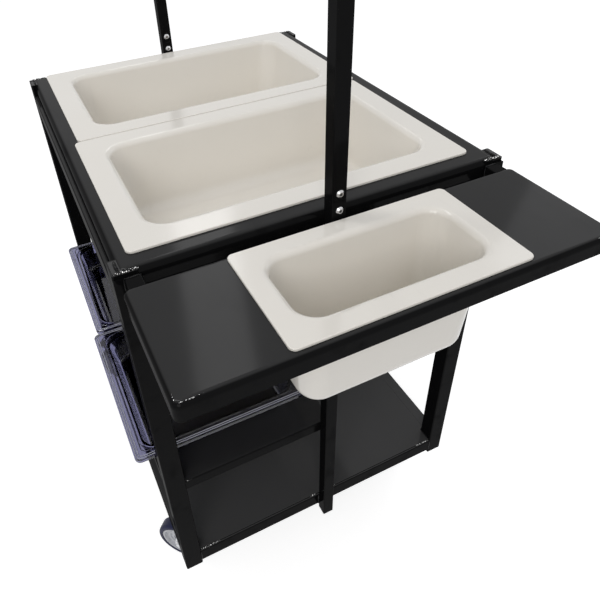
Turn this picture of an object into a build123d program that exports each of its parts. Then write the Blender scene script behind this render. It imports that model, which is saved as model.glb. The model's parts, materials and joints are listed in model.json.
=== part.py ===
"""Snack cart: a welded tube frame on swivel casters with three lift-off food pans,
two slide-out clear tubs, an end shelf and two sign posts. Millimetres, +Z up."""
import os
from math import cos, radians, sin

from build123d import *

os.makedirs("parts", exist_ok=True)

# Overall frame
frame_w = 700.0          # over the legs, side to side
frame_d = 830.0          # over the legs, front to back
deck_top = 1006.0        # counter height
caster_h = 155.5         # floor to the underside of the bottom rails
foot_drop = 8.0          # how far legs and uprights reach below those rails
tube = 38.1              # square tube of the legs and rails
tube_wall = 2.0
tube_corner = 3.0        # outer corner radius of that tube
sheet = 2.0              # folded sheet of the deck and shelves
seat_gap = 0.3           # what rests on something lies this far above it
slip = 0.3               # room between a sheet's notch and the tube in it

# Deck
deck_inset = 8.0         # deck side to the legs' outer faces
deck_skirt = 30.0
deck_bend = 14.0
stiffener_w = 38.0

# Food pans
pan_side_room = 38.5     # pan rim to the legs' outer faces
pan_front_room = 36.0    # pan rims to the front and rear of the frame
pan_rear_room = 6.0
pan_between = 3.0
front_pan_shift = -7.0   # the pans lie a little off the middle
rear_pan_shift = 1.0
pan_deep = 150.0
pan_lip = 46.0
pan_taper = 18.0
pan_corner = 42.0
pan_rim_corner = 11.0
pan_floor_r = 28.0
rim_h = 4.0
rim_round = 1.6
mouth_r = 11.0
pan_wall = 3.0
pan_cut_gap = 2.0        # room between a pan's body and its cut-out

# End shelf and its pan
shelf_inset = 6.0        # shelf side to the legs' outer faces
shelf_front = 250.0      # how far the shelf stands out in front of the legs
shelf_drop = 6.0         # shelf below the deck
shelf_skirt = 30.0
shelf_bend = 9.0
shelf_corner = 12.0
shelf_post_gap = 0.4     # shelf's back edge to the front upright
shelf_pan_x = 384.0
shelf_pan_y = 209.0
shelf_pan_deep = 195.0
shelf_pan_gap = 4.6      # pan rim to the front upright
shelf_pan_lip = 35.0
shelf_pan_taper = 11.0
shelf_pan_corner = 38.0
shelf_pan_rim_corner = 10.0
shelf_pan_floor_r = 28.0
arm = 25.4               # square tube of the shelf's arms
arm_wall = 1.6
bracket_t = 4.0
bracket_h = 90.0
gusset_run = 100.0
bracket_bolt_drop = 44.0 # shelf sheet to the upper bracket bolt
bracket_bolt_pitch = 30.0
bracket_bolt_r = 4.0

# Lower shelves
mid_shelf_top = 470.0    # it spans the left half, from the legs to the uprights
mid_shelf_skirt = 25.0
mid_shelf_bend = 4.0
bottom_shelf_lap = 10.0  # how far the bottom sheet lies on the side rails
bottom_shelf_inset = 4.0

# Clear tubs
tub_stop = 8.0           # rear tub's inner rim to the frame's middle
tub_h = 65.0
tub_out = 38.5           # front tub's rim past the legs' outer faces
rear_tub_in = 10.0       # the rear tub stands this far further in
tub_side_gap = 0.4       # rim to the leg beside it
tub_between = 3.0
tub_lip = 22.0
tub_taper = 14.0
tub_corner = 30.0
tub_rim_corner = 13.0
tub_floor_r = 12.0
tub_rim_h = 8.0
tub_rim_round = 2.4
tub_mouth_r = 2.0
tub_wall = 2.5
tub_ledge = 6.0          # step inside the tubs' mouths for a lid
tub_ledge_drop = 7.5

# Posts
post = 25.4              # square tube of the uprights and posts
post_wall = 1.6
post_corner = 2.0
joint_up = 27.0          # deck to the joint between upright and post
post_up = 450.0          # deck to the top of the post
post_bolt_off = 15.0     # joint to each bolt
post_bolt_r = 4.0
post_head_r = 6.6
post_head_h = 4.2
post_head_dome = 2.6     # slanted edge of those heads
splice_up = 40.0         # bar's reach each way from the joint
splice_gap = 0.3
sign_hole_r = 3.3
sign_hole_drop = 35.0    # post top to the upper sign hole
sign_hole_pitch = 60.0

# Plugs and caps
plug_t = 3.0
plug_in = 14.0
plug_gap = 0.2
plug_edge = 1.0

# Casters
caster_x = 50.0          # swivel axis in from the legs' outer faces
caster_y = 92.0          # and in from their front and rear faces
wheel_r = 62.5
wheel_w = 32.0
trail = 40.0
swivel_deg = 134.0       # way the wheels trail, from +X towards +Y
plate_x = 96.0
plate_y = 80.0
plate_t = 3.5
plate_corner = 8.0
plate_bolt_x = 74.0
plate_bolt_y = 58.0
caster_bolt_r = 4.0
race_r = 26.0
race_t = 5.0
race_edge = 2.5
kingpin_r = 6.0
kingpin_head_r = 10.0
kingpin_head_h = 4.5
axle_r = 5.0
run_gap = 0.08           # radial running clearance of pins and axles
end_gap = 0.3            # axial clearance of what turns
fork_gap = 2.0           # tyre side to fork cheek
fork_t = 3.0
crown_t = 4.0
crown_back = 24.0
crown_front = 31.0
axle_boss_r = 13.0
hub_boss_r = 14.0
hub_web_t = 9.0
hub_rim_in = 46.0
tyre_in = 51.0
tyre_gap = 0.05          # hub rim to the tyre round it
hub_rim_w = 28.0
hub_rings = (24.0, 34.5)
tyre_round = 7.0
pedal_pivot_x = 24.0
pedal_drop = 7.2         # fork crown to the pedal's pin
pedal_pin_r = 3.0
pedal_eye_r = 6.0
pedal_w = 30.0
pedal_t = 4.0
pedal_tip = 98.0
gusset_plate_t = 4.0
gusset_plate_x = 64.0
gusset_plate_y = 104.0
hex_head_h = 5.0
hex_round = 7.2

# Where the frame's middle and front stand, so that the origin is the middle of the base
span_left = frame_w / 2 + tub_out
span_right = frame_w / 2
span_front = shelf_front
span_back = frame_d + post
centre_x = (span_left - span_right) / 2
front_y = (span_front - span_back) / 2

# Working planes on the frame's middle and front face
ground = Plane(origin=(centre_x, front_y, 0))
face = Plane(origin=(centre_x, front_y, 0), x_dir=(1, 0, 0), z_dir=(0, -1, 0))
side = Plane(origin=(centre_x, front_y, 0), x_dir=(0, 1, 0), z_dir=(1, 0, 0))

shelf_w = frame_w - 2 * shelf_inset
shelf_top = deck_top - shelf_drop
pan_x = frame_w - 2 * pan_side_room
pan_y = (frame_d - pan_front_room - pan_rear_room - pan_between) / 2
pan_pitch = pan_y + pan_between
pan_front_y = pan_front_room + pan_y / 2
pan_places = [(front_pan_shift, pan_front_y), (rear_pan_shift, pan_front_y + pan_pitch)]
tub_x = frame_w / 2 + tub_out - rear_tub_in - tub_stop
foot_z = caster_h - foot_drop
leg_top = deck_top - sheet - seat_gap
leg_x = (frame_w - tube) / 2
leg_front_y = tube / 2
leg_rear_y = frame_d - tube / 2
leg_spots = [(sx * leg_x, y) for sx in (-1, 1) for y in (leg_front_y, leg_rear_y)]
leg_inner = frame_w / 2 - tube
top_rail_z = deck_top - deck_skirt - tube / 2
bottom_rail_z = caster_h + tube / 2
caster_places = [
    (sx * (frame_w / 2 - caster_x), y) for y in (caster_y, frame_d - caster_y) for sx in (-1, 1)
]
plate_bolts = [
    (x + ix * plate_bolt_x / 2, y + iy * plate_bolt_y / 2)
    for x, y in caster_places for ix in (-1, 1) for iy in (-1, 1)
]
arm_x = shelf_w / 2 - shelf_bend - slip - arm / 2
arm_z = shelf_top - sheet - arm / 2
arm_end = shelf_front - shelf_bend - slip
bracket_bolt_x = (leg_inner + arm_x + arm / 2 - bracket_t) / 2
bracket_bolt_z = [
    shelf_top - sheet - bracket_bolt_drop - i * bracket_bolt_pitch for i in (0, 1)
]
joint_z = deck_top + joint_up
post_top = deck_top + post_up


def save(piece, name):
    """Label one piece and write its file."""
    piece.part.label = name
    export_step(piece.part, f"parts/{name}.step")


def square_ring(size, wall, corner):
    """Section of a square tube, drawn in the current sketch."""
    RectangleRounded(size, size, corner)
    inside = size - 2 * wall
    RectangleRounded(inside, inside, max(corner - wall, 0.4), mode=Mode.SUBTRACT)


def folded_tray(x_size, y_near, y_far, top, skirt, bend, corner, x_mid=0):
    """Sheet folded down along its four edges, open below."""
    y_mid = (y_near + y_far) / 2
    y_size = y_far - y_near
    with BuildPart() as inside:
        with BuildSketch(ground.offset(top - skirt)):
            with Locations((x_mid, y_mid)):
                RectangleRounded(x_size - 2 * sheet, y_size - 2 * sheet, corner - sheet)
        extrude(amount=skirt - sheet)
        fillet(inside.faces().sort_by(Axis.Z)[-1].edges(), bend - sheet)
    with BuildPart() as tray:
        with BuildSketch(ground.offset(top - skirt)):
            with Locations((x_mid, y_mid)):
                RectangleRounded(x_size, y_size, corner)
        extrude(amount=skirt)
        fillet(tray.faces().sort_by(Axis.Z)[-1].edges(), bend)
        add(inside.part, mode=Mode.SUBTRACT)
    return tray


def leg_blocks(low, high):
    """What the four legs and their slip take out of a sheet, between two heights."""
    with BuildPart() as blocks:
        with BuildSketch(ground.offset(low)):
            with Locations(*leg_spots):
                Rectangle(tube + 2 * slip, tube + 2 * slip)
        extrude(amount=high - low)
    return blocks


def food_pan(at, size, seat, deep, lip, taper, corners, floor_r, rim, round_r, mouth, wall, ledge=()):
    """Pan with sloping walls and a flat rim that it hangs by, or a stepped one that takes a lid."""
    rim_x, rim_y = size
    body_corner, rim_corner = corners
    body_x = rim_x - 2 * lip
    body_y = rim_y - 2 * lip
    step, drop = ledge or (0, 0)
    with BuildPart() as hollow:
        with BuildSketch(ground.offset(seat + rim)):
            with Locations(at):
                RectangleRounded(body_x - 2 * wall, body_y - 2 * wall, body_corner - wall)
        with BuildSketch(ground.offset(seat - deep + wall)):
            with Locations(at):
                RectangleRounded(
                    body_x - 2 * (wall + taper), body_y - 2 * (wall + taper), body_corner - wall
                )
        loft(ruled=True)
        fillet(hollow.faces().sort_by(Axis.Z)[0].edges(), floor_r - wall)
        if ledge:
            with BuildSketch(ground.offset(seat + rim)):
                with Locations(at):
                    RectangleRounded(
                        body_x - 2 * (wall - step), body_y - 2 * (wall - step), body_corner - wall + step
                    )
            extrude(amount=-drop)
    with BuildPart() as pan:
        with BuildSketch(ground.offset(seat)):
            with Locations(at):
                RectangleRounded(rim_x, rim_y, rim_corner)
        extrude(amount=rim)
        fillet(pan.faces().sort_by(Axis.Z)[-1].edges(), round_r)
        if ledge:
            with BuildSketch(ground.offset(seat)):
                with Locations(at):
                    RectangleRounded(rim_x - 2 * wall, rim_y - 2 * wall, rim_corner - wall)
                    RectangleRounded(
                        body_x + 2 * step, body_y + 2 * step, body_corner + step, mode=Mode.SUBTRACT
                    )
            extrude(amount=rim - wall, mode=Mode.SUBTRACT)
            with BuildSketch(ground.offset(seat + rim - drop - wall)):
                with Locations(at):
                    RectangleRounded(body_x + 2 * step, body_y + 2 * step, body_corner + step)
            extrude(amount=drop)
        with BuildSketch(ground.offset(seat)):
            with Locations(at):
                RectangleRounded(body_x, body_y, body_corner)
        with BuildSketch(ground.offset(seat - deep)):
            with Locations(at):
                RectangleRounded(body_x - 2 * taper, body_y - 2 * taper, body_corner)
        loft(ruled=True)
        fillet(pan.faces().sort_by(Axis.Z)[0].edges(), floor_r)
        add(hollow.part, mode=Mode.SUBTRACT)
        top_face = pan.faces().filter_by(Axis.Z).sort_by(Axis.Z)[-1]
        fillet(top_face.inner_wires().edges(), mouth)
    return pan


# Legs, with the holes for the shelf brackets in the front ones
for side_name, sx in (("left", -1), ("right", 1)):
    for end_name, y in (("front", leg_front_y), ("rear", leg_rear_y)):
        with BuildPart() as leg:
            with BuildSketch(ground.offset(foot_z)):
                with Locations((sx * leg_x, y)):
                    square_ring(tube, tube_wall, tube_corner)
            extrude(amount=leg_top - foot_z)
            if end_name == "front":
                with BuildSketch(face):
                    with Locations(*[(sx * bracket_bolt_x, z) for z in bracket_bolt_z]):
                        Circle(bracket_bolt_r + slip)
                extrude(amount=-2 * tube_wall, mode=Mode.SUBTRACT)
        save(leg, f"leg_{end_name}_{side_name}")

# Rails between the legs, at the top and at the bottom
for level, z in (("top", top_rail_z), ("bottom", bottom_rail_z)):
    for end_name, y in (("front", 0), ("rear", frame_d - tube)):
        with BuildPart() as end_rail:
            with BuildSketch(side.offset(-leg_inner)):
                with Locations((y + tube / 2, z)):
                    square_ring(tube, tube_wall, tube_corner)
            extrude(amount=2 * leg_inner)
        save(end_rail, f"{level}_rail_{end_name}")
    for side_name, sx in (("left", -1), ("right", 1)):
        with BuildPart() as side_rail:
            with BuildSketch(face.offset(-tube)):
                with Locations((sx * leg_x, z)):
                    square_ring(tube, tube_wall, tube_corner)
            extrude(amount=-(frame_d - 2 * tube))
            if level == "bottom":
                with BuildSketch(ground.offset(caster_h)):
                    with Locations(*[p for p in plate_bolts if abs(p[0] - sx * leg_x) < tube / 2]):
                        Circle(caster_bolt_r + slip)
                extrude(amount=2 * tube_wall, mode=Mode.SUBTRACT)
        save(side_rail, f"{level}_rail_{side_name}")

# Deck: one folded sheet with a cut-out for each pan, lying over the legs' ends
deck_sheet = folded_tray(
    frame_w - 2 * deck_inset, 0, frame_d, deck_top, deck_skirt, deck_bend, deck_bend + 1
)
deck_notches = leg_blocks(deck_top - deck_skirt, deck_top - sheet)
with BuildPart() as deck:
    add(deck_sheet.part)
    add(deck_notches.part, mode=Mode.SUBTRACT)
    with BuildSketch(ground.offset(deck_top - deck_skirt)):
        with Locations(*pan_places):
            RectangleRounded(
                pan_x - 2 * pan_lip + 2 * pan_cut_gap,
                pan_y - 2 * pan_lip + 2 * pan_cut_gap,
                pan_corner + pan_cut_gap,
            )
    extrude(amount=deck_skirt, mode=Mode.SUBTRACT)
save(deck, "deck")

# Channel under the deck's middle web, standing on the side rails
with BuildPart() as deck_stiffener:
    with BuildSketch(side.offset(-(frame_w / 2 - deck_inset - deck_bend))):
        with Locations((pan_front_y + pan_pitch / 2, deck_top - sheet - (deck_skirt - sheet) / 2)):
            Rectangle(stiffener_w, deck_skirt - sheet)
        with Locations((pan_front_y + pan_pitch / 2, deck_top - sheet - deck_skirt / 2)):
            Rectangle(stiffener_w - 2 * sheet, deck_skirt - sheet, mode=Mode.SUBTRACT)
    extrude(amount=frame_w - 2 * (deck_inset + deck_bend))
save(deck_stiffener, "deck_stiffener")

# Pans in the deck
for name, place in zip(("front_pan", "rear_pan"), pan_places):
    pan = food_pan(
        place, (pan_x, pan_y), deck_top + seat_gap, pan_deep, pan_lip, pan_taper,
        (pan_corner, pan_rim_corner), pan_floor_r, rim_h, rim_round, mouth_r, pan_wall,
    )
    save(pan, name)

# End shelf, its pan and the two arms that carry it
shelf_back = -(post + shelf_post_gap)
shelf_pan_mid = -(post + shelf_pan_gap + shelf_pan_y / 2)
shelf_sheet = folded_tray(
    shelf_w, -shelf_front, shelf_back, shelf_top, shelf_skirt, shelf_bend, shelf_corner
)
with BuildPart() as end_shelf:
    add(shelf_sheet.part)
    with BuildSketch(ground.offset(shelf_top - shelf_skirt)):
        with Locations((0, shelf_pan_mid)):
            RectangleRounded(
                shelf_pan_x - 2 * shelf_pan_lip + 2 * pan_cut_gap,
                shelf_pan_y - 2 * shelf_pan_lip + 2 * pan_cut_gap,
                shelf_pan_corner + pan_cut_gap,
            )
    extrude(amount=shelf_skirt, mode=Mode.SUBTRACT)
    with BuildSketch(face.offset(-shelf_back)):
        with Locations(*[(sx * arm_x, shelf_top - shelf_skirt / 2 - sheet) for sx in (-1, 1)]):
            Rectangle(arm + 2 * slip, shelf_skirt)
    extrude(amount=shelf_bend + slip, mode=Mode.SUBTRACT)
save(end_shelf, "end_shelf")

shelf_pan = food_pan(
    (0, shelf_pan_mid), (shelf_pan_x, shelf_pan_y), shelf_top + seat_gap, shelf_pan_deep,
    shelf_pan_lip, shelf_pan_taper, (shelf_pan_corner, shelf_pan_rim_corner),
    shelf_pan_floor_r, rim_h, rim_round, mouth_r, pan_wall,
)
save(shelf_pan, "shelf_pan")

for side_name, sx in (("left", -1), ("right", 1)):
    with BuildPart() as shelf_bracket:
        with BuildSketch(face):
            with Locations((sx * leg_x, shelf_top - sheet - bracket_h / 2)):
                RectangleRounded(tube, bracket_h, tube_corner)
            with Locations(*[(sx * bracket_bolt_x, z) for z in bracket_bolt_z]):
                Circle(bracket_bolt_r + slip, mode=Mode.SUBTRACT)
        extrude(amount=bracket_t)
        with BuildSketch(face.offset(bracket_t)):
            with Locations((sx * arm_x, arm_z)):
                square_ring(arm, arm_wall, post_corner)
        extrude(amount=arm_end - bracket_t)
        web_x = sx * (arm_x + arm / 2) - (bracket_t if sx > 0 else 0)
        with BuildSketch(side.offset(web_x)):
            with BuildLine():
                Polyline(
                    (-bracket_t, arm_z - arm / 2),
                    (-bracket_t - gusset_run, arm_z - arm / 2),
                    (-bracket_t, shelf_top - sheet - bracket_h + tube_corner),
                    close=True,
                )
            make_face()
        extrude(amount=bracket_t)
    save(shelf_bracket, f"shelf_bracket_{side_name}")

# Bolts that hold the brackets to the front legs
with BuildPart() as bracket_bolts:
    bolt_places = [(sx * bracket_bolt_x, z) for sx in (-1, 1) for z in bracket_bolt_z]
    with BuildSketch(face.offset(bracket_t)):
        with Locations(*bolt_places):
            RegularPolygon(hex_round, 6)
    extrude(amount=hex_head_h)
    with BuildSketch(face.offset(bracket_t)):
        with Locations(*bolt_places):
            Circle(bracket_bolt_r)
    extrude(amount=-(bracket_t + 2 * tube_wall))
save(bracket_bolts, "bracket_bolts")

# Mid shelf in the left half, welded to the backs of the uprights, and the full bottom shelf
mid_shelf_x = (frame_w + post) / 2
mid_sheet = folded_tray(
    mid_shelf_x, 0, frame_d, mid_shelf_top, mid_shelf_skirt, mid_shelf_bend,
    mid_shelf_bend + 1, (post - mid_shelf_x) / 2,
)
mid_notches = leg_blocks(mid_shelf_top - mid_shelf_skirt, mid_shelf_top)
with BuildPart() as mid_shelf:
    add(mid_sheet.part)
    add(mid_notches.part, mode=Mode.SUBTRACT)
save(mid_shelf, "mid_shelf")

bottom_notches = leg_blocks(caster_h + tube, caster_h + tube + sheet)
with BuildPart() as bottom_shelf:
    with BuildSketch(ground.offset(caster_h + tube)):
        with Locations((0, frame_d / 2)):
            Rectangle(2 * (leg_inner + bottom_shelf_lap), frame_d - 2 * bottom_shelf_inset)
    extrude(amount=sheet)
    fillet(bottom_shelf.faces().sort_by(Axis.Z)[-1].edges(), sheet / 2)
    add(bottom_notches.part, mode=Mode.SUBTRACT)
save(bottom_shelf, "bottom_shelf")

# Clear tubs, side by side between the left legs, standing on the mid shelf
tub_y = (frame_d - 2 * tube - 2 * tub_side_gap - tub_between) / 2
for index, name in enumerate(("front_tub", "rear_tub")):
    tub_mid_x = -span_left + tub_x / 2 + index * rear_tub_in
    tub_mid_y = tube + tub_side_gap + tub_y / 2 + index * (tub_y + tub_between)
    tub = food_pan(
        (tub_mid_x, tub_mid_y), (tub_x, tub_y), mid_shelf_top + seat_gap + tub_h - tub_rim_h,
        tub_h - tub_rim_h, tub_lip, tub_taper, (tub_corner, tub_rim_corner), tub_floor_r,
        tub_rim_h, tub_rim_round, tub_mouth_r, tub_wall, (tub_ledge, tub_ledge_drop),
    )
    save(tub, name)

# Uprights, posts and the bars that splice them, on the front and on the rear of the frame
post_rows = {"front": -post / 2, "rear": frame_d + post / 2}
for name, y in post_rows.items():
    front_face = face.offset(post / 2 - y)
    with BuildPart() as upright:
        with BuildSketch(ground.offset(foot_z)):
            with Locations((0, y)):
                square_ring(post, post_wall, post_corner)
        extrude(amount=joint_z - foot_z)
        with BuildSketch(front_face):
            with Locations((0, joint_z - post_bolt_off)):
                Circle(post_bolt_r + slip)
        extrude(amount=-2 * post_wall, mode=Mode.SUBTRACT)
    save(upright, f"{name}_upright")
    with BuildPart() as upper:
        with BuildSketch(ground.offset(joint_z)):
            with Locations((0, y)):
                square_ring(post, post_wall, post_corner)
        extrude(amount=post_top - joint_z)
        with BuildSketch(front_face):
            with Locations((0, joint_z + post_bolt_off)):
                Circle(post_bolt_r + slip)
        extrude(amount=-2 * post_wall, mode=Mode.SUBTRACT)
        with BuildSketch(front_face):
            with Locations(*[(0, post_top - sign_hole_drop - i * sign_hole_pitch) for i in (0, 1)]):
                Circle(sign_hole_r)
        extrude(amount=-post, mode=Mode.SUBTRACT)
    save(upper, f"{name}_post")
    with BuildPart() as splice:
        bar = post - 2 * (post_wall + splice_gap)
        with BuildSketch(ground.offset(joint_z - splice_up)):
            with Locations((0, y)):
                RectangleRounded(bar, bar, 1.0)
        extrude(amount=2 * splice_up)
        with BuildSketch(front_face.offset(-post_wall)):
            with Locations(*[(0, joint_z + s * post_bolt_off) for s in (-1, 1)]):
                Circle(post_bolt_r + run_gap)
        extrude(amount=-bar, mode=Mode.SUBTRACT)
    save(splice, f"{name}_splice")
    with BuildPart() as post_bolts:
        spots = [(0, joint_z + s * post_bolt_off) for s in (-1, 1)]
        with BuildSketch(front_face):
            with Locations(*spots):
                Circle(post_head_r)
        extrude(amount=post_head_h)
        heads = post_bolts.faces().sort_by(Axis.Y)[:2]
        chamfer(heads.edges(), post_head_dome)
        with BuildSketch(front_face.offset(post_head_h)):
            with Locations(*spots):
                RegularPolygon(post_bolt_r * 0.7, 6)
        extrude(amount=-post_head_h * 0.55, mode=Mode.SUBTRACT)
        with BuildSketch(front_face):
            with Locations(*spots):
                Circle(post_bolt_r)
        extrude(amount=-(post_wall + bar * 0.7))
    save(post_bolts, f"{name}_post_bolts")

# Caps in the tube ends: flush ones in the legs under the deck, headed ones in all the others
post_spots = [(0, y) for y in post_rows.values()]


def tube_plugs(groups, way):
    """Plugs for open tube ends: a thin head outside and a stem inside each tube."""
    with BuildPart() as plugs:
        for spots, end_z, size, wall, corner in groups:
            with BuildSketch(ground.offset(end_z)):
                with Locations(*spots):
                    RectangleRounded(size, size, corner)
            extrude(amount=way * plug_t)
        outer = plugs.faces().filter_by(Axis.Z)
        outer = outer.filter_by(lambda f: f.normal_at().Z * way > 0.5)
        chamfer(outer.edges(), plug_edge)
        for spots, end_z, size, wall, corner in groups:
            stem = size - 2 * (wall + plug_gap)
            with BuildSketch(ground.offset(end_z)):
                with Locations(*spots):
                    RectangleRounded(stem, stem, 1.0)
            extrude(amount=-way * plug_in)
    return plugs


with BuildPart() as leg_caps:
    with BuildSketch(ground.offset(leg_top)):
        with Locations(*leg_spots):
            RectangleRounded(tube - 2 * (tube_wall + plug_gap), tube - 2 * (tube_wall + plug_gap), 1.0)
    extrude(amount=-plug_in)
save(leg_caps, "leg_caps")
post_caps = tube_plugs([(post_spots, post_top, post, post_wall, post_corner)], 1)
save(post_caps, "post_caps")
foot_plugs = tube_plugs(
    [
        (leg_spots, foot_z, tube, tube_wall, tube_corner),
        (post_spots, foot_z, post, post_wall, post_corner),
    ],
    -1,
)
save(foot_plugs, "foot_plugs")

# Plates welded into the frame's corners for the casters
with BuildPart() as corner_plates:
    for x, y in caster_places:
        sx = 1 if x > 0 else -1
        sy = 1 if y > frame_d / 2 else -1
        plate_mid_x = sx * (leg_inner - gusset_plate_x / 2)
        plate_mid_y = frame_d / 2 + sy * (frame_d / 2 - tube - gusset_plate_y / 2)
        with BuildSketch(ground.offset(caster_h)):
            with Locations((plate_mid_x, plate_mid_y)):
                Rectangle(gusset_plate_x, gusset_plate_y)
            with Locations(*[p for p in plate_bolts if abs(p[0] - x) < plate_x and abs(p[0]) < leg_inner
                             and abs(p[1] - y) < plate_y]):
                Circle(caster_bolt_r + slip, mode=Mode.SUBTRACT)
        extrude(amount=gusset_plate_t)
save(corner_plates, "corner_plates")

# Bolts that hold the caster plates up to the frame
with BuildPart() as caster_bolts:
    with BuildSketch(ground.offset(caster_h - plate_t)):
        with Locations(*plate_bolts):
            RegularPolygon(hex_round, 6)
    extrude(amount=-hex_head_h)
    with BuildSketch(ground.offset(caster_h - plate_t)):
        with Locations(*plate_bolts):
            Circle(caster_bolt_r)
    extrude(amount=plate_t + 2 * gusset_plate_t)
save(caster_bolts, "caster_bolts")

# Swivel casters, all trailing the same way
trail_way = (cos(radians(swivel_deg)), sin(radians(swivel_deg)), 0)
axle_way = (-trail_way[1], trail_way[0], 0)
race_low = caster_h - plate_t - race_t
crown_top = race_low - end_gap
crown_low = crown_top - crown_t
pedal_pivot_up = crown_low - pedal_drop
fork_in = wheel_w / 2 + fork_gap
fork_out = fork_in + fork_t
hub_half = fork_in - end_gap


def caster(name, x, y, braked):
    """One caster: bolted plate with its kingpin, fork, axle, hub, tyre and any brake pedal."""
    swivel = Vector(centre_x + x, front_y + y, 0)
    wheel_mid = swivel + Vector(*trail_way) * trail + Vector(0, 0, wheel_r)
    spot = Plane(origin=swivel, x_dir=trail_way, z_dir=(0, 0, 1))
    flank = Plane(origin=swivel, x_dir=trail_way, z_dir=(-axle_way[0], -axle_way[1], 0))
    section = Plane(origin=wheel_mid, x_dir=axle_way, z_dir=trail_way)
    spin = Axis(wheel_mid, axle_way)

    with BuildPart() as plate:
        with BuildSketch(ground.offset(caster_h - plate_t)):
            with Locations((x, y)):
                RectangleRounded(plate_x, plate_y, plate_corner)
            with Locations((x, y)):
                with GridLocations(plate_bolt_x, plate_bolt_y, 2, 2):
                    Circle(caster_bolt_r + slip, mode=Mode.SUBTRACT)
        extrude(amount=plate_t)
        with BuildSketch(spot.offset(race_low)):
            Circle(race_r)
        extrude(amount=race_t)
        chamfer(plate.faces().filter_by(Axis.Z).sort_by(Axis.Z)[0].edges(), race_edge)
        with BuildSketch(spot.offset(crown_low - end_gap)):
            Circle(kingpin_r)
        extrude(amount=crown_t + 2 * end_gap)
        with BuildSketch(spot.offset(crown_low - end_gap - kingpin_head_h)):
            Circle(kingpin_head_r)
        extrude(amount=kingpin_head_h)
    save(plate, f"caster_plate_{name}")

    with BuildPart() as fork:
        with BuildSketch(flank.offset(-fork_out)):
            with Locations(((crown_front - crown_back) / 2, (crown_top + crown_low) / 2)):
                Rectangle(crown_front + crown_back, crown_t)
            with Locations((trail, wheel_r)):
                Circle(axle_boss_r)
            make_hull()
        extrude(amount=2 * fork_out)
        top_edges = fork.faces().filter_by(Axis.Z).sort_by(Axis.Z)[-1].edges()
        chamfer(top_edges.filter_by(Axis((0, 0, 0), trail_way)), fork_t * 0.7)
        with BuildSketch(flank.offset(-fork_in)):
            with Locations((0, crown_low / 2)):
                Rectangle(6 * wheel_r, crown_low)
        extrude(amount=2 * fork_in, mode=Mode.SUBTRACT)
        with BuildSketch(spot.offset(crown_low)):
            Circle(kingpin_r + run_gap)
        extrude(amount=crown_t, mode=Mode.SUBTRACT)
        with BuildSketch(flank.offset(-fork_out)):
            with Locations((trail, wheel_r)):
                Circle(axle_r + run_gap)
            if braked:
                with Locations((pedal_pivot_x, pedal_pivot_up)):
                    Circle(pedal_pin_r + run_gap)
        extrude(amount=2 * fork_out, mode=Mode.SUBTRACT)
    save(fork, f"caster_fork_{name}")

    with BuildPart() as axle:
        with BuildSketch(flank.offset(-fork_out)):
            with Locations((trail, wheel_r)):
                Circle(axle_r)
        extrude(amount=2 * fork_out)
        for way in (-1, 1):
            with BuildSketch(flank.offset(way * fork_out)):
                with Locations((trail, wheel_r)):
                    RegularPolygon(axle_r + 4, 6)
            extrude(amount=way * hex_head_h)
    save(axle, f"caster_axle_{name}")

    with BuildPart() as hub:
        with BuildSketch(section):
            with Locations((0, (axle_r + run_gap + hub_boss_r) / 2)):
                Rectangle(2 * hub_half, hub_boss_r - axle_r - run_gap)
            with Locations((0, (hub_boss_r + hub_rim_in) / 2)):
                Rectangle(hub_web_t, hub_rim_in - hub_boss_r + 2)
            with Locations((0, (hub_rim_in + tyre_in - tyre_gap) / 2)):
                Rectangle(hub_rim_w, tyre_in - tyre_gap - hub_rim_in)
            with Locations(*[(0, r) for r in hub_rings]):
                Rectangle(hub_web_t + 8, 2.5)
        revolve(axis=spin)
    save(hub, f"caster_hub_{name}")

    with BuildPart() as tyre:
        with BuildSketch(section) as band:
            with Locations((0, (tyre_in + wheel_r) / 2)):
                Rectangle(wheel_w, wheel_r - tyre_in)
            fillet(band.vertices().sort_by(Axis.Y)[-2:], tyre_round)
        revolve(axis=spin)
    save(tyre, f"caster_tyre_{name}")

    if braked:
        with BuildPart() as pedal:
            with BuildSketch(flank.offset(-pedal_w / 2)):
                with Locations((pedal_pivot_x, pedal_pivot_up)):
                    Circle(pedal_eye_r)
                with Locations(((pedal_pivot_x + pedal_tip) / 2, pedal_pivot_up)):
                    Rectangle(pedal_tip - pedal_pivot_x, pedal_t)
            extrude(amount=pedal_w)
            with BuildSketch(flank.offset(-fork_out)):
                with Locations((pedal_pivot_x, pedal_pivot_up)):
                    Circle(pedal_pin_r)
            extrude(amount=2 * fork_out)
        save(pedal, f"brake_pedal_{name}")


for index, (x, y) in enumerate(caster_places):
    end_name = "front" if index < 2 else "rear"
    side_name = "left" if x < 0 else "right"
    caster(f"{end_name}_{side_name}", x, y, end_name == "rear")
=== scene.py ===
"""Looks of the snack cart: finishes, welds, seals, washers, pads, ribs, studio and camera.

The frame is in metres, +Z up. Shapes are written in mm in the cart's own frame, see at().
"""
import json
from collections import namedtuple
from math import cos, pi, radians, sin, tau

import bmesh
import bpy
from mathutils import Matrix, Vector


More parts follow.
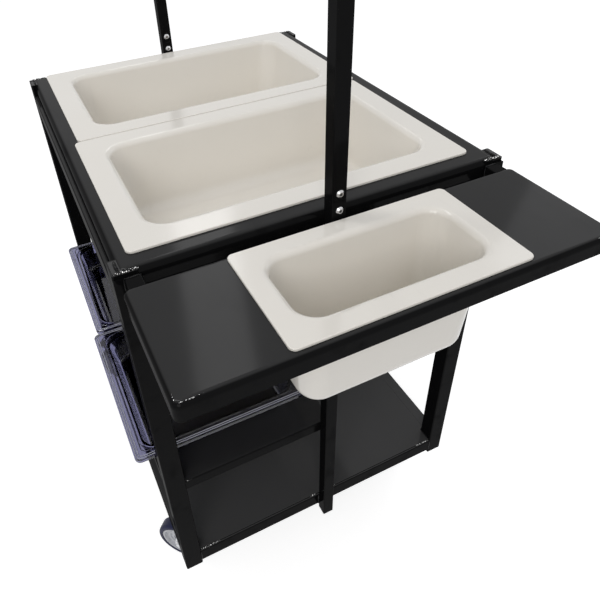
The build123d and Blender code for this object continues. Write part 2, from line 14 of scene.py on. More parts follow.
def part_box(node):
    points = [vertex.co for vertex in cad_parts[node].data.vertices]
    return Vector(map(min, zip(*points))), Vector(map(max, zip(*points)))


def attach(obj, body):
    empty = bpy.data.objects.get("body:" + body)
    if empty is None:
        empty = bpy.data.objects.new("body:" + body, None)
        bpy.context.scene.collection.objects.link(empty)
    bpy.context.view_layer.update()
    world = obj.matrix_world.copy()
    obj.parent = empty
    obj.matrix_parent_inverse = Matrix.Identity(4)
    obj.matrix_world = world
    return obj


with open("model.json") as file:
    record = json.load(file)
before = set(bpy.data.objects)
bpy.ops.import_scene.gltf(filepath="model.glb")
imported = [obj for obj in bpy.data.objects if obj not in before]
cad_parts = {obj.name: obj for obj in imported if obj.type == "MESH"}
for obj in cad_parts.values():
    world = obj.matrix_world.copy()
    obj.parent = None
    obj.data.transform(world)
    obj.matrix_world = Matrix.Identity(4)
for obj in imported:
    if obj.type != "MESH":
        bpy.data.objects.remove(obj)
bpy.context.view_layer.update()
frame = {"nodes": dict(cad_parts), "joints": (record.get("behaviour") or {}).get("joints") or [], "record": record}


# Arithmetic on sockets, and one way to add any node
def pick(sockets, key):
    """A socket by its number, its identifier or its name."""
    if isinstance(key, int):
        return sockets[key]
    for socket in sockets:
        if key in (socket.identifier, socket.name):
            return socket
    raise KeyError(key)


class Value:
    """What one socket gives out. Arithmetic on it adds math nodes to its look."""

    def __init__(self, look, socket):
        self.look = look
        self.socket = socket

    def __add__(self, other):
        return self.look.math("ADD", self, other)

    def __radd__(self, other):
        return self.look.math("ADD", other, self)

    def __sub__(self, other):
        return self.look.math("SUBTRACT", self, other)

    def __rsub__(self, other):
        return self.look.math("SUBTRACT", other, self)

    def __mul__(self, other):
        return self.look.math("MULTIPLY", self, other)

    def __rmul__(self, other):
        return self.look.math("MULTIPLY", other, self)


class Look:
    """Nodes of one material or world, with the few textures that the finishes share."""

    def __init__(self, owner):
        owner.use_nodes = True
        self.owner = owner
        self.tree = owner.node_tree
        self.tree.nodes.clear()

    def add(self, kind, settings=None, inputs=None, out=0):
        """Add a node and give back one of its outputs."""
        node = self.tree.nodes.new(kind)
        for key, value in (settings or {}).items():
            setattr(node, key, value)
        for key, value in (inputs or {}).items():
            socket = pick(node.inputs, key)
            if isinstance(value, Value):
                self.tree.links.new(value.socket, socket)
            else:
                socket.default_value = value
        return Value(self, pick(node.outputs, out)) if len(node.outputs) else None

    def math(self, operation, *values):
        return self.add("ShaderNodeMath", {"operation": operation}, dict(enumerate(values)))

    def place(self, stretch=(1, 1, 1)):
        """Where on the cart, in metres, stretched per axis."""
        spot = self.add("ShaderNodeTexCoord", out="Object")
        if stretch == (1, 1, 1):
            return spot
        inputs = {0: spot, 1: stretch}
        return self.add("ShaderNodeVectorMath", {"operation": "MULTIPLY"}, inputs)

    def axis(self, name):
        """One coordinate of the place on the cart."""
        return self.add("ShaderNodeSeparateXYZ", None, {0: self.place()}, name)

    def noise(self, scale, detail, rough=0.5, stretch=(1, 1, 1)):
        spot = self.place(stretch)
        inputs = {"Vector": spot, "Scale": scale, "Detail": detail, "Roughness": rough}
        return self.add("ShaderNodeTexNoise", None, inputs)

    def cells(self, scale):
        """Distance to the nearest of scattered points."""
        return self.add("ShaderNodeTexVoronoi", None, {"Vector": self.place(), "Scale": scale})

    def ease(self, value, low, high, to_low=0.0, to_high=1.0):
        """Smooth step of a value from one span to another."""
        inputs = {"Value": value, 1: low, 2: high, 3: to_low, 4: to_high}
        return self.add("ShaderNodeMapRange", {"interpolation_type": "SMOOTHSTEP"}, inputs)

    def blend(self, colour_a, colour_b, factor):
        inputs = {"Factor_Float": factor, "A_Color": colour_a, "B_Color": colour_b}
        return self.add("ShaderNodeMix", {"data_type": "RGBA"}, inputs, "Result_Color")

    def rounded(self, radius):
        """Normal with its sharp edges rounded, radius in metres."""
        return self.add("ShaderNodeBevel", {"samples": 4}, {"Radius": radius})

    def edge(self, radius):
        """0 on flats and towards 1 on sharp edges."""
        flat = self.add("ShaderNodeNewGeometry", out="True Normal")
        inputs = {0: self.rounded(radius), 1: flat}
        same = self.add("ShaderNodeVectorMath", {"operation": "DOT_PRODUCT"}, inputs, "Value")
        return self.ease(same, 0.995, 0.86)

    def bump(self, height, distance, strength, rounding=0.0):
        inputs = {"Height": height, "Distance": distance, "Strength": strength}
        if rounding:
            inputs["Normal"] = self.rounded(rounding)
        return self.add("ShaderNodeBump", None, inputs)

    def seen(self):
        """1 for what the camera sees, also in gloss and through clear plastic, else 0."""
        camera, gloss, through = (
            self.add("ShaderNodeLightPath", out=f"Is {ray} Ray")
            for ray in ("Camera", "Glossy", "Transmission")
        )
        return camera + gloss + through

    def surface(self, **inputs):
        """End in a Principled surface. Its inputs' names are written with underscores."""
        named = {key.replace("_", " "): value for key, value in inputs.items()}
        shader = self.add("ShaderNodeBsdfPrincipled", None, named)
        self.add("ShaderNodeOutputMaterial", None, {"Surface": shader})
        return self.owner


def new_finish(name):
    return Look(bpy.data.materials.new(name))


def grey(value):
    return (value, value, value, 1)


# Finishes
def black_paint(name, top_sheen_and_dust):
    """Gloss black powder coat with a fine orange peel.

    On level faces it can have a pale veil, partly settled dust and partly a painted sheen of light from above, and
    it has smears.
    """
    look = new_finish(name)
    cloud = look.noise(5.0, detail=4.0, rough=0.6)
    smears = look.ease(look.noise(22.0, detail=5.0, rough=0.65, stretch=(1, 0.25, 1)), 0.5, 0.75)
    specks = look.ease(look.cells(420.0), 0.10, 0.02)
    rare = look.ease(look.noise(60.0, detail=2.0), 0.60, 0.72)
    normal = look.add("ShaderNodeNewGeometry", out="Normal")
    up = look.add("ShaderNodeSeparateXYZ", None, {0: normal}, "Z")
    flat = look.ease(up, 0.80, 0.99) * top_sheen_and_dust
    # the veil is paler on the bottom shelf, partly dust and partly painted light: brightest at its open front,
    # fading to painted shade towards the back
    low = look.ease(look.axis("Z"), 0.45, 0.25) * look.ease(look.axis("Y"), 0.10, -0.26, 0.15)
    dust = flat * look.ease(cloud, 0.40, 0.75)
    wear = look.edge(0.0007) * look.ease(look.noise(90.0, detail=4.0), 0.48, 0.66)
    base = look.blend((0.0038, 0.0038, 0.0041, 1), (0.0060, 0.0060, 0.0064, 1), cloud)
    # level faces painted paler: partly dust, partly a painted sheen of light from above
    base = look.blend(base, (0.024, 0.024, 0.0245, 1), flat)
    base = look.blend(base, (0.060, 0.060, 0.061, 1), flat * low)
    base = look.blend(base, (0.055, 0.055, 0.056, 1), dust * 0.10 + specks * rare * 0.30)
    base = look.blend(base, (0.09, 0.09, 0.092, 1), wear * 0.45)
    rough = 0.17 + look.ease(cloud, 0.3, 0.7) * 0.05 + smears * 0.08 + dust * 0.07
    gloss = 0.09 + flat * 0.19 - smears * 0.04 - dust * 0.03
    peel = look.noise(700.0, detail=2.0, rough=0.45) + look.noise(160.0, detail=2.0) * 0.8
    normal = look.bump(peel, distance=0.00003, strength=0.45, rounding=0.0006)
    return look.surface(
        Base_Color=base, Roughness=rough, Specular_IOR_Level=0.0,
        Coat_Weight=gloss, Coat_Roughness=0.10, Normal=normal,
    )


def painted_weld(name, bare):
    """The same black over the ripples of a weld, with bright specks where it is rubbed bare."""
    look = new_finish(name)
    cloud = look.noise(40.0, detail=3.0)
    speck = look.ease(look.noise(420.0, detail=3.0, rough=0.6), 0.53, 0.60) * bare
    base = look.blend((0.004, 0.004, 0.0045, 1), (0.009, 0.009, 0.010, 1), cloud)
    base = look.blend(base, (0.86, 0.86, 0.85, 1), speck)
    gloss = 0.20 + look.ease(cloud, 0.4, 0.6) * 0.25
    ripples = look.noise(900.0, detail=3.0, rough=0.6)
    return look.surface(
        Base_Color=base, Roughness=0.22, Metallic=speck, Specular_IOR_Level=0.0,
        Coat_Weight=gloss, Coat_Roughness=0.08,
        Normal=look.bump(ripples, distance=0.00012, strength=0.8),
    )


def white_pan():
    """Glossy warm white, a shade duller where things slide in and out."""
    look = new_finish("bone white melamine")
    cloud = look.noise(7.0, detail=3.0)
    scuffs = look.noise(45.0, detail=6.0, rough=0.7, stretch=(1, 0.12, 1))
    base = look.blend((0.835, 0.80, 0.737, 1), (0.855, 0.825, 0.772, 1), cloud)
    base = look.blend(base, (0.66, 0.63, 0.58, 1), look.ease(scuffs, 0.60, 0.78) * 0.22)
    rough = 0.10 + look.ease(cloud, 0.35, 0.7) * 0.04 + look.ease(scuffs, 0.52, 0.78) * 0.16
    waves = look.noise(32.0, detail=2.0) + look.noise(420.0, detail=2.0) * 0.06
    return look.surface(
        Base_Color=base, Roughness=rough, Specular_IOR_Level=0.5,
        Normal=look.bump(waves, distance=0.00022, strength=0.5),
    )


def tub_plastic(name, dark, pale, clear):
    """Moulded plastic with a blue violet cast, faint flow waves and fine scratches."""
    look = new_finish(name)
    flow = look.noise(14.0, detail=2.0, stretch=(1, 1, 0.4))
    streaks = look.noise(130.0, detail=6.0, rough=0.75, stretch=(1, 0.06, 1))
    scratch = look.ease(streaks, 0.60, 0.75)
    return look.surface(
        Base_Color=look.blend(dark, pale, flow),
        Roughness=0.035 + scratch * 0.16 + flow * 0.03,
        IOR=1.49, Transmission_Weight=clear,
        Normal=look.bump(flow + scratch * 0.05, distance=0.0005, strength=0.4),
    )


def zinc_steel():
    """Zinc plated pressing, softly mottled, with fine brushing and dull spots."""
    look = new_finish("bright zinc plate")
    mottle = look.noise(70.0, detail=4.0, rough=0.6)
    brush = look.noise(260.0, detail=3.0, rough=0.6, stretch=(1, 1, 0.08))
    grime = look.ease(look.noise(38.0, detail=5.0, rough=0.7), 0.52, 0.70)
    base = look.blend((0.50, 0.51, 0.53, 1), (0.66, 0.67, 0.69, 1), mottle)
    base = look.blend(base, (0.16, 0.15, 0.14, 1), grime * 0.55)
    return look.surface(
        Base_Color=base, Metallic=1.0 - grime * 0.35,
        Roughness=0.30 + brush * 0.12 + grime * 0.25,
        Normal=look.bump(brush + mottle * 0.4, distance=0.00005, strength=0.5, rounding=0.0005),
    )


def bright_steel():
    """Turned and polished fasteners and axles, with painted shade darkening their sockets."""
    look = new_finish("bright steel")
    rings = look.noise(900.0, detail=2.0, stretch=(1, 1, 0.2))
    stain = look.ease(look.noise(120.0, detail=4.0, rough=0.6), 0.55, 0.7)
    settings, reach = {"samples": 8, "only_local": True}, {"Distance": 0.005}
    openness = look.add("ShaderNodeAmbientOcclusion", settings, reach, "AO")
    # painted shade: darker and less metallic where ambient occlusion finds a recess, as in the sockets
    socket_shade = look.ease(openness, 0.75, 0.40)
    base = look.blend((0.56, 0.56, 0.57, 1), (0.34, 0.33, 0.32, 1), stain * 0.5)
    base = look.blend(base, (0.015, 0.015, 0.015, 1), socket_shade * 0.9)
    return look.surface(
        Base_Color=base, Metallic=1.0 - stain * 0.1 - socket_shade * 0.7,
        Roughness=0.20 + rings * 0.08 + stain * 0.15,
        Normal=look.bump(rings, distance=0.00002, strength=0.5, rounding=0.0004),
    )


def black_plastic():
    """Moulded caps, plugs and pedals with a fine grain."""
    look = new_finish("black grained plastic")
    cloud = look.noise(30.0, detail=3.0)
    wear = look.edge(0.0005) * look.ease(look.noise(140.0, detail=3.0), 0.45, 0.65)
    base = look.blend((0.010, 0.010, 0.011, 1), (0.018, 0.018, 0.019, 1), cloud)
    base = look.blend(base, (0.07, 0.07, 0.07, 1), wear * 0.4)
    return look.surface(
        Base_Color=base, Roughness=0.42 + cloud * 0.12, Specular_IOR_Level=0.4,
        Normal=look.bump(look.cells(1100.0), distance=0.00004, strength=0.6, rounding=0.0004),
    )


def grey_hub():
    """Moulded wheel centres with patches of grime."""
    look = new_finish("light grey wheel plastic")
    cloud = look.noise(60.0, detail=4.0, rough=0.6)
    grime = look.ease(look.noise(95.0, detail=5.0, rough=0.7), 0.50, 0.72)
    base = look.blend((0.62, 0.63, 0.67, 1), (0.72, 0.73, 0.76, 1), cloud)
    base = look.blend(base, (0.16, 0.155, 0.15, 1), grime * 0.35)
    grain = look.noise(800.0, detail=2.0)
    return look.surface(
        Base_Color=base, Roughness=0.38 + cloud * 0.1 + grime * 0.2,
        Normal=look.bump(grain, distance=0.00003, strength=0.4, rounding=0.0004),
    )


def navy_tyre():
    """Tyres with a slight sheen and dull scuffs."""
    look = new_finish("navy polyurethane")
    cloud = look.noise(40.0, detail=4.0, rough=0.6)
    scuff = look.ease(look.noise(230.0, detail=5.0, rough=0.7), 0.50, 0.70)
    base = look.blend((0.010, 0.013, 0.052, 1), (0.018, 0.023, 0.075, 1), cloud)
    base = look.blend(base, (0.06, 0.06, 0.07, 1), scuff * 0.20)
    grain = look.noise(500.0, detail=3.0) + scuff * 0.6
    return look.surface(
        Base_Color=base, Roughness=0.30 + cloud * 0.10 + scuff * 0.22, Specular_IOR_Level=0.0,
        Coat_Weight=0.35 - scuff * 0.2, Coat_Roughness=0.16,
        Normal=look.bump(grain, distance=0.00006, strength=0.5, rounding=0.0006),
    )


finishes = {
    "black_paint": black_paint("black powder coat", 1.0),
    # copy of the black without the pale veil, for parts that should read darker: painted shade
    "shaded_paint": black_paint("black powder coat, shaded copy", 0.0),
    "painted_weld": painted_weld("black paint on welds", 0.0),
    "rubbed_weld": painted_weld("rubbed black paint on welds", 1.0),
    "white_pan": white_pan(),
    "tinted_tub": tub_plastic(
        "tinted clear plastic", (0.12, 0.12, 0.21, 1), (0.16, 0.16, 0.275, 1), 1.0
    ),
    # paler, half clear copy for the rim ribs: painted highlight lines along the rims
    "rib_highlight_plastic": tub_plastic(
        "tinted clear plastic, paler for painted highlights", (0.62, 0.63, 0.74, 1), (0.74, 0.75, 0.86, 1), 0.5
    ),
    "zinc_steel": zinc_steel(),
    "bright_steel": bright_steel(),
    "black_plastic": black_plastic(),
    "grey_hub": grey_hub(),
    "navy_tyre": navy_tyre(),
}


def paint(obj, finish):
    obj.data.materials.clear()
    obj.data.materials.append(finishes[finish])


for subpart in frame["record"]["subparts"]:
    paint(frame["nodes"][subpart["node"]], subpart["material_slot"])
# the brackets, stiffener and corner plates get the copy without the pale veil, so they read darker: painted shade
for node in ("shelf_bracket_left", "shelf_bracket_right", "deck_stiffener", "corner_plates"):
    paint(frame["nodes"][node], "shaded_paint")


# The cart's own frame: X from its middle, Y from the legs' front face, Z from the floor, in mm
Extent = namedtuple("Extent", "x0 y0 z0 x1 y1 z1")

leg_nodes = [f"leg_{end}_{side}" for end in ("front", "rear") for side in ("left", "right")]
leg_boxes = [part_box(node) for node in leg_nodes]
centre_x = (min(low.x for low, _ in leg_boxes) + max(high.x for _, high in leg_boxes)) / 2
front_y = min(low.y for low, _ in leg_boxes)


def at(x, y, z):
    return Vector((centre_x + x / 1000, front_y + y / 1000, z / 1000))


def extent(node):
    """A node's box in the cart's frame, in mm."""
    low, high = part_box(node)
    shift = Vector((centre_x, front_y, 0))
    return Extent(*(round(value * 1000, 3) for value in (*(low - shift), *(high - shift))))


first_leg = extent("leg_front_left")
leg_w = first_leg.x1 - first_leg.x0
leg_top = first_leg.z1
frame_half = extent("leg_front_right").x1
frame_deep = extent("leg_rear_left").y1
leg_inner = frame_half - leg_w


# Pieces in mesh code
def piece(name, mesh, body, slot, finish=None):
    """Make a bmesh one piece that rides on a body, in its slot's finish or another one."""
    bmesh.ops.recalc_face_normals(mesh, faces=mesh.faces)
    data = bpy.data.meshes.new(name)
    mesh.to_mesh(data)
    mesh.free()
    data.shade_smooth()
    data.set_sharp_from_angle(angle=radians(40))
    obj = bpy.data.objects.new(name, data)
    bpy.context.scene.collection.objects.link(obj)
    paint(obj, finish or slot)
    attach(obj, body)


def skin(mesh, rings, closed):
    """Faces between rings of corners, and lids on an open row of rings."""
    pairs = list(zip(rings, rings[1:])) + ([(rings[-1], rings[0])] if closed else [])
    for low, high in pairs:
        for i in range(len(low)):
            k = (i + 1) % len(low)
            mesh.faces.new((low[i], low[k], high[k], high[i]))
    if not closed:
        mesh.faces.new(rings[0][::-1])
        mesh.faces.new(rings[-1])


def weld_bead(mesh, start, end, radius, pitch=2.4):
    """A straight weld, in mm: a round ridge with ripples, drawn out at both ends."""
    start, end, radius, pitch = at(*start), at(*end), radius / 1000, pitch / 1000
    sides, steps_per_ripple, ripple_depth, wander_depth, sway_depth = 9, 5, 0.20, 0.06, 0.10
    along = end - start
    steps = max(8, int(along.length / pitch * steps_per_ripple))
    turn = along.to_track_quat("Z", "Y").to_matrix()
    phase = (start.x + start.y * 3 + start.z * 7) * 900  # makes each weld wander its own way
    rings = []
    for step in range(steps + 1):
        share = step / steps
        run = share * along.length
        ripple = 1 - ripple_depth + ripple_depth * abs(sin(pi * run / pitch))
        wander = wander_depth * sin(run * 410 + phase)
        drawn_out = min(1.0, 0.35 + 90 * min(run, along.length - run))
        sway = turn @ Vector((sin(run * 270 + phase), cos(run * 230 + phase), 0))
        middle = start + along * share + sway * radius * sway_depth
        size = radius * (ripple + wander) * drawn_out
        spots = (Vector((cos(tau * i / sides), sin(tau * i / sides), 0)) for i in range(sides))
        rings.append([mesh.verts.new(middle + turn @ spot * size) for spot in spots])
    skin(mesh, rings, False)


def lathe(mesh, profile, centre, axis, sides=40):
    """Ring turned about an axis from a closed profile of (radius, height) in mm."""
    turn = Vector(axis).to_track_quat("Z", "Y").to_matrix()
    up = turn @ Vector((0, 0, 1))
    rings = []
    for i in range(sides):
        way = turn @ Vector((cos(tau * i / sides), sin(tau * i / sides), 0))
        rings.append([mesh.verts.new(centre + (way * r + up * h) / 1000) for r, h in profile])
    skin(mesh, rings, True)


def washer(inner, outer, low, high, bevel=0.3):
    """Profile of a washer with bevelled outer edges, as (radius, height) in mm."""
    return [(inner, low), (outer - bevel, low), (outer, low + bevel),
            (outer, high - bevel), (outer - bevel, high), (inner, high)]


def rounded_loop(box, inset, corner, z, turns=8):
    """Points round a box's outline, moved inwards, with rounded corners, in mm."""
    x0, x1 = box.x0 + inset + corner, box.x1 - inset - corner
    y0, y1 = box.y0 + inset + corner, box.y1 - inset - corner
    spots = []
    for x, y, first in ((x1, y1, 0), (x0, y1, 90), (x0, y0, 180), (x1, y0, 270)):
        for i in range(turns + 1):
            angle = radians(first + 90 * i / turns)
            spots.append((x + corner * cos(angle), y + corner * sin(angle), z))
    return spots


def moulded_rib(mesh, spots, radius, sides=8):
    """Round rib along a closed level loop, in mm."""
    points = [at(*spot) for spot in spots]
    rings = []
    for i, point in enumerate(points):
        along = (points[(i + 1) % len(points)] - points[i - 1]).normalized()
        out = Vector((along.y, -along.x, 0))
        ring = []
        for k in range(sides):
            way = out * cos(tau * k / sides) + Vector((0, 0, sin(tau * k / sides)))
            ring.append(mesh.verts.new(point + way * radius / 1000))
        rings.append(ring)
    skin(mesh, rings, True)


def leg_top_welds():
    """Beads where the deck's rolled edge lies on the legs' ends, rubbed bare at front and rear."""
    across, along = bmesh.new(), bmesh.new()
    edge_in, side_in, overlap = 4, 2.5, 2
    z, deck_half = leg_top + 0.3, extent("deck").x1
    for sx in (-1, 1):
        near, far, side = leg_inner - overlap, frame_half - side_in, deck_half - side_in
        near, far, side = sx * near, sx * far, sx * side
        for y, inward in ((0, 1), (frame_deep, -1)):
            edge, leg_end = y + inward * edge_in, y + inward * (leg_w - overlap)
            weld_bead(across, (near, edge, z), (far, edge, z), radius=2.7)
            weld_bead(along, (side, edge, z), (side, leg_end, z), radius=2.6)
    piece("leg_top_welds", across, "frame", "black_paint", "rubbed_weld")
    piece("leg_side_welds", along, "frame", "black_paint", "painted_weld")


def rail_welds():
    """Beads on the front and rear faces where rails meet legs and uprights."""
    mesh = bmesh.new()
    proud_at_leg, proud_at_upright, beside_upright = 0.1, 0.6, 0.6
    short_at_leg, short_at_upright = 2, 1
    for level in ("top", "bottom"):
        for end, out in (("front", -1), ("rear", 1)):
            rail, upright = extent(f"{level}_rail_{end}"), extent(f"{end}_upright")
            face = rail.y0 if end == "front" else rail.y1
            for sx in (-1, 1):
                x, y = sx * leg_inner, face + out * proud_at_leg
                z0, z1 = rail.z0 + short_at_leg, rail.z1 - short_at_leg
                weld_bead(mesh, (x, y, z0), (x, y, z1), radius=1.3, pitch=2.0)
                x, y = sx * (upright.x1 + beside_upright), face + out * proud_at_upright
                z0, z1 = rail.z0 + short_at_upright, rail.z1 - short_at_upright
                weld_bead(mesh, (x, y, z0), (x, y, z1), radius=2.2)
    piece("rail_welds", mesh, "frame", "black_paint", "painted_weld")


def shelf_leg_welds():
    """Beads round the legs in the shelves' corners, and at the half shelf's uprights."""
    mesh = bmesh.new()
    bead, lift, past_leg, past_shelf, proud, side_in, edge_in = 1.9, 0.1, 0.5, 0.5, 0.6, 3, 3
    half = extent("mid_shelf")
    x, z0, z1 = half.x1 + past_shelf, half.z0 + 1, half.z1 - 8
    for y in (half.y0 - proud, half.y1 + proud):
        weld_bead(mesh, (x, y, z0), (x, y, z1), bead)
    for node, sides in (("mid_shelf", (-1,)), ("bottom_shelf", (-1, 1))):
        shelf = extent(node)
        outer, z = min(abs(shelf.x0), frame_half - side_in), shelf.z1 + lift
        for sx in sides:
            x = sx * (leg_inner - past_leg)
            for near, inward in ((0, 1), (frame_deep, -1)):
                inset = abs(shelf.y0 if inward > 0 else frame_deep - shelf.y1)
                edge = near + inward * (inset + edge_in)
                leg_end = near + inward * (leg_w + past_leg)
                weld_bead(mesh, (x, edge, z), (x, leg_end, z), bead)
                weld_bead(mesh, (x, leg_end, z), (sx * outer, leg_end, z), bead)
    piece("shelf_leg_welds", mesh, "frame", "black_paint", "painted_weld")


def shelf_edge_welds():
    """Short rubbed beads on the shelves' edges, and on the end shelf's corner seams."""
    mesh = bmesh.new()
    low, half, end = extent("bottom_shelf"), extent("mid_shelf"), extent("end_shelf")
    upright_half = extent("front_upright").x1
    gap, by_leg, by_upright, by_half_shelf = 3, 45, 19, 11
    leg_run = (leg_inner - gap, leg_inner - gap - by_leg)
    upright_run = (upright_half + gap, upright_half + gap + by_upright)
    z = low.z1 - 0.3
    for y in (low.y0 - 0.2, low.y1 + 0.2):
        for sx in (-1, 1):
            for near, far in (leg_run, upright_run):
                weld_bead(mesh, (sx * near, y, z), (sx * far, y, z), radius=1.5, pitch=2.0)
    x, y, z = gap - leg_inner, half.y0 + 1.2, half.z1 - 0.8
    weld_bead(mesh, (x, y, z), (x + by_half_shelf, y, z), radius=1.6)
    seam_in, seam_side_in, seam_front, seam_side, z = 5, 5.4, 30, 11, end.z1 - 1.0
    for sx in (-1, 1):
        x, y = sx * (end.x1 - 9), end.y0 + seam_in
        weld_bead(mesh, (x, y, z), (x - sx * seam_front, y, z), radius=0.9, pitch=1.6)
        x, y = sx * (end.x1 - seam_side_in), end.y0 + 9
        weld_bead(mesh, (x, y, z), (x, y + seam_side, z), radius=0.9, pitch=1.6)
    piece("shelf_edge_welds", mesh, "frame", "black_paint", "rubbed_weld")


def end_shelf_welds():
    """Dressed corner seams of the end shelf and the beads of its brackets."""
    mesh = bmesh.new()
    shelf = extent("end_shelf")
    arm, plate_face, bead, corner_in, inside, beside = 25.4, -4.3, 1.8, 4.6, 0.5, 0.4
    for side, sx in (("left", -1), ("right", 1)):
        x, y = sx * (shelf.x1 - corner_in), shelf.y0 + corner_in
        z0, z1 = shelf.z0 + 1, shelf.z1 - 6.5
        weld_bead(mesh, (x, y, z0), (x, y, z1), radius=1.5, pitch=1.9)
        bracket, y = extent(f"shelf_bracket_{side}"), plate_face
        inner, top, low = bracket.x1 if sx < 0 else bracket.x0, bracket.z1, bracket.z1 - arm
        for z in (top - inside, low + inside):
            weld_bead(mesh, (inner, y, z), (inner + sx * arm, y, z), bead)
        for x in (inner + sx * beside, inner + sx * (arm + beside)):
            weld_bead(mesh, (x, y, top - 1), (x, y, low + 1), bead)
    piece("end_shelf_welds", mesh, "frame", "black_paint", "painted_weld")


def swivel_spot(caster):
    """Where a caster's swivel axis stands, as x and y in mm."""
    plate = extent(f"caster_plate_{caster}")
    return (plate.x0 + plate.x1) / 2, (plate.y0 + plate.y1) / 2


def axle_way(caster):
    """Direction of a caster's axle."""
    spin = next(joint for joint in frame["joints"] if joint["name"] == f"wheel_{caster}_spin")
    return Vector(spin["axis"])


def caster_rings():
    """Ball race seals, washers on the plate bolts and washers on the axles."""
    seal = [(24.6, -9.2), (26.4, -9.2), (27.2, -8.6), (27.2, -7.6), (26.4, -7.0), (24.6, -7.0)]
    plate_washer, axle_washer = washer(4.3, 8.9, -1.2, 0.0), washer(6.0, 11.9, 21.0, 22.3)
    plate_thick, race_drop, bolt_x, bolt_y = 3.5, 0.4, 37, 29
    for node in frame["nodes"]:
        if not node.startswith("caster_plate_"):
            continue
        name = node.removeprefix("caster_plate_")
        x, y = swivel_spot(name)
        plate_top = extent(node).z1
        mesh = bmesh.new()
        lathe(mesh, seal, at(x, y, plate_top - race_drop), (0, 0, 1), sides=64)
        piece(f"race_seal_{name}", mesh, "frame", "black_plastic")
        mesh = bmesh.new()
        for sx in (-1, 1):
            for sy in (-1, 1):
                spot = at(x + sx * bolt_x, y + sy * bolt_y, plate_top - plate_thick)
                lathe(mesh, plate_washer, spot, (0, 0, 1))
        piece(f"plate_washers_{name}", mesh, "frame", "zinc_steel")
        axle = extent(f"caster_axle_{name}")
        middle = at(*((axle[i] + axle[i + 3]) / 2 for i in range(3)))
        mesh = bmesh.new()
        for way in (-1, 1):
            lathe(mesh, axle_washer, middle, axle_way(name) * way)
        piece(f"axle_washers_{name}", mesh, f"caster_{name}", "bright_steel")


def pedal_pads():
    """Ridged foot pads on the brake pedals."""
    near, far, half_w, base, pad, ridge, pitch = 47.0, 96.0, 13.5, -0.4, 1.2, 2.7, 6.5
    profile = [(near, 0.0), (near + 0.6, pad)]
    for i in range(7):
        s = near + 3 + i * pitch
        profile += [(s, pad), (s + 0.8, ridge), (s + 2.6, ridge), (s + 3.4, pad)]
    profile += [(far - 0.6, pad), (far, 0.0), (far, base), (near, base)]
    for name in ("rear_left", "rear_right"):
        pedal = extent(f"brake_pedal_{name}")
        top = (pedal.z0 + pedal.z1) / 2 + 2.0
        swivel, lean = at(*swivel_spot(name), 0), axle_way(name)
        along = Vector((lean.y, -lean.x, 0)).normalized()
        mesh = bmesh.new()
        rings = []
        for w in (-half_w, half_w):
            ring = []
            for s, h in profile:
                spot = swivel + (along * s + lean * w) / 1000 + Vector((0, 0, (top + h) / 1000))
                ring.append(mesh.verts.new(spot))
            rings.append(ring)
        skin(mesh, rings, False)
        piece(f"pedal_pad_{name}", mesh, f"brake_{name}", "black_plastic")


def tub_ribs():
    """Moulded ribs round the clear tubs' rims and their mouths; the rim ribs are paler, a painted highlight along
    the rims.
    """
    # place, finish, radius, and the loops as (inset from the rim's outline, corner radius)
    rows = (
        # the rim ribs' pale finish is a painted highlight along the rims' edges
        ("rim", "rib_highlight_plastic", 1.3, ((4.2, 9.0), (8.6, 6.5))),
        ("mouth", "tinted_tub", 1.2, ((16.0, 12.0),)),
    )
    below_top = 0.7
    for name in ("front_tub", "rear_tub"):
        tub = extent(name)
        for place, finish, radius, loops in rows:
            mesh = bmesh.new()
            for inset, corner in loops:
                moulded_rib(mesh, rounded_loop(tub, inset, corner, tub.z1 - below_top), radius)
            piece(f"{name}_{place}_rib", mesh, name, "tinted_tub", finish)


leg_top_welds()
rail_welds()
shelf_leg_welds()
shelf_edge_welds()
end_shelf_welds()
caster_rings()
pedal_pads()
tub_ribs()


# Studio: pale floor, white backdrop and soft lamps
def floor_look():
    """Pale floor that keeps the shadow and reads as white round it."""
    look = new_finish("studio floor")
    base = look.blend(grey(0.68), grey(0.72), look.noise(3.0, detail=2.0))
    matt = look.add("ShaderNodeBsdfDiffuse", None, {"Color": base})
    glow = look.add("ShaderNodeEmission", None, {"Color": grey(1.0), "Strength": 0.72})
    total = look.add("ShaderNodeAddShader", None, {0: matt, 1: glow})
    final = look.add("ShaderNodeMixShader", None, {0: look.seen(), 1: matt, 2: total})
    look.add("ShaderNodeOutputMaterial", None, {"Surface": final})
    return look.owner


def backdrop():
    """World that reads as white and lights the cart softly."""
    world = bpy.data.worlds.new("studio")
    look = Look(world)
    white = look.add("ShaderNodeBackground", None, {"Color": grey(1.0), "Strength": 1.0})
    inputs = {"Color": (0.97, 0.98, 1.0, 1), "Strength": 0.45}
    fill = look.add("ShaderNodeBackground", None, inputs)
    final = look.add("ShaderNodeMixShader", None, {0: look.seen(), 1: fill, 2: white})
    look.add("ShaderNodeOutputWorld", None, {"Surface": final})
    bpy.context.scene.world = world


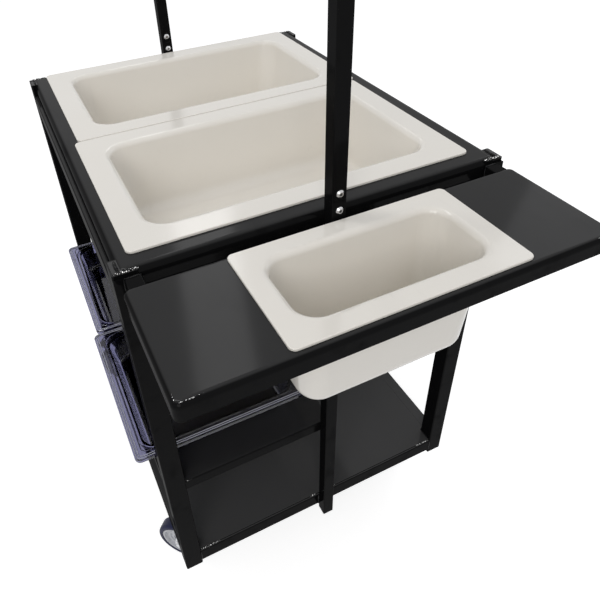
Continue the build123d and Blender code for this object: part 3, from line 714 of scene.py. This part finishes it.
def studio_floor():
    mesh = bmesh.new()
    bmesh.ops.create_grid(mesh, x_segments=1, y_segments=1, size=9.0)
    data = bpy.data.meshes.new("studio_floor")
    mesh.to_mesh(data)
    mesh.free()
    floor = bpy.data.objects.new("studio_floor", data)
    floor.location = (0, 0, -0.0002)
    floor.data.materials.append(floor_look())
    bpy.context.scene.collection.objects.link(floor)


def lamp(name, place, width, height, power, colour):
    """Soft rectangular lamp, turned to the cart's middle."""
    data = bpy.data.lights.new(name, "AREA")
    data.shape = "RECTANGLE"
    data.size = width
    data.size_y = height
    data.energy = power
    data.color = colour
    obj = bpy.data.objects.new(name, data)
    obj.location = place
    cart_middle = Vector((0.0, 0.0, 0.7))
    obj.rotation_euler = (cart_middle - Vector(place)).to_track_quat("-Z", "Y").to_euler()
    bpy.context.scene.collection.objects.link(obj)


def photo_camera():
    """Camera where the photograph was taken, worked out from the cart's vanishing points."""
    heading, pitch, roll = radians(-24.1557), radians(90 - 37.1242), radians(-2.6270)
    spot = at(-407, -679, 1530)
    view = bpy.data.cameras.new("photo_camera")
    view.sensor_fit = "HORIZONTAL"
    view.sensor_width = 36.0
    view.lens = 35.93
    view.shift_x = 0.0449
    view.shift_y = -0.0877
    view.clip_end = 60.0
    camera = bpy.data.objects.new("photo_camera", view)
    turns = ((heading, "Z"), (pitch, "X"), (roll, "Z"))
    swing, nod, lean = (Matrix.Rotation(angle, 4, axis) for angle, axis in turns)
    camera.matrix_world = Matrix.Translation(spot) @ (swing @ nod @ lean)
    bpy.context.scene.collection.objects.link(camera)
    bpy.context.scene.camera = camera


studio_floor()
backdrop()
warm, cool, plain = (1.0, 0.98, 0.95), (0.97, 0.98, 1.0), (1.0, 1.0, 1.0)
lamp("key_lamp", (-1.7, -2.7, 2.7), width=1.8, height=1.8, power=37.5, colour=warm)
lamp("side_lamp", (2.8, 0.6, 2.4), width=1.6, height=1.6, power=8.0, colour=cool)
lamp("rear_strip", (0.55, 2.2, 3.5), width=0.45, height=1.8, power=6.0, colour=plain)
lamp("front_strip", (-0.9, 0.5, 3.5), width=0.45, height=1.8, power=15.0, colour=plain)
photo_camera()
bpy.context.scene.view_settings.view_transform = "Standard"
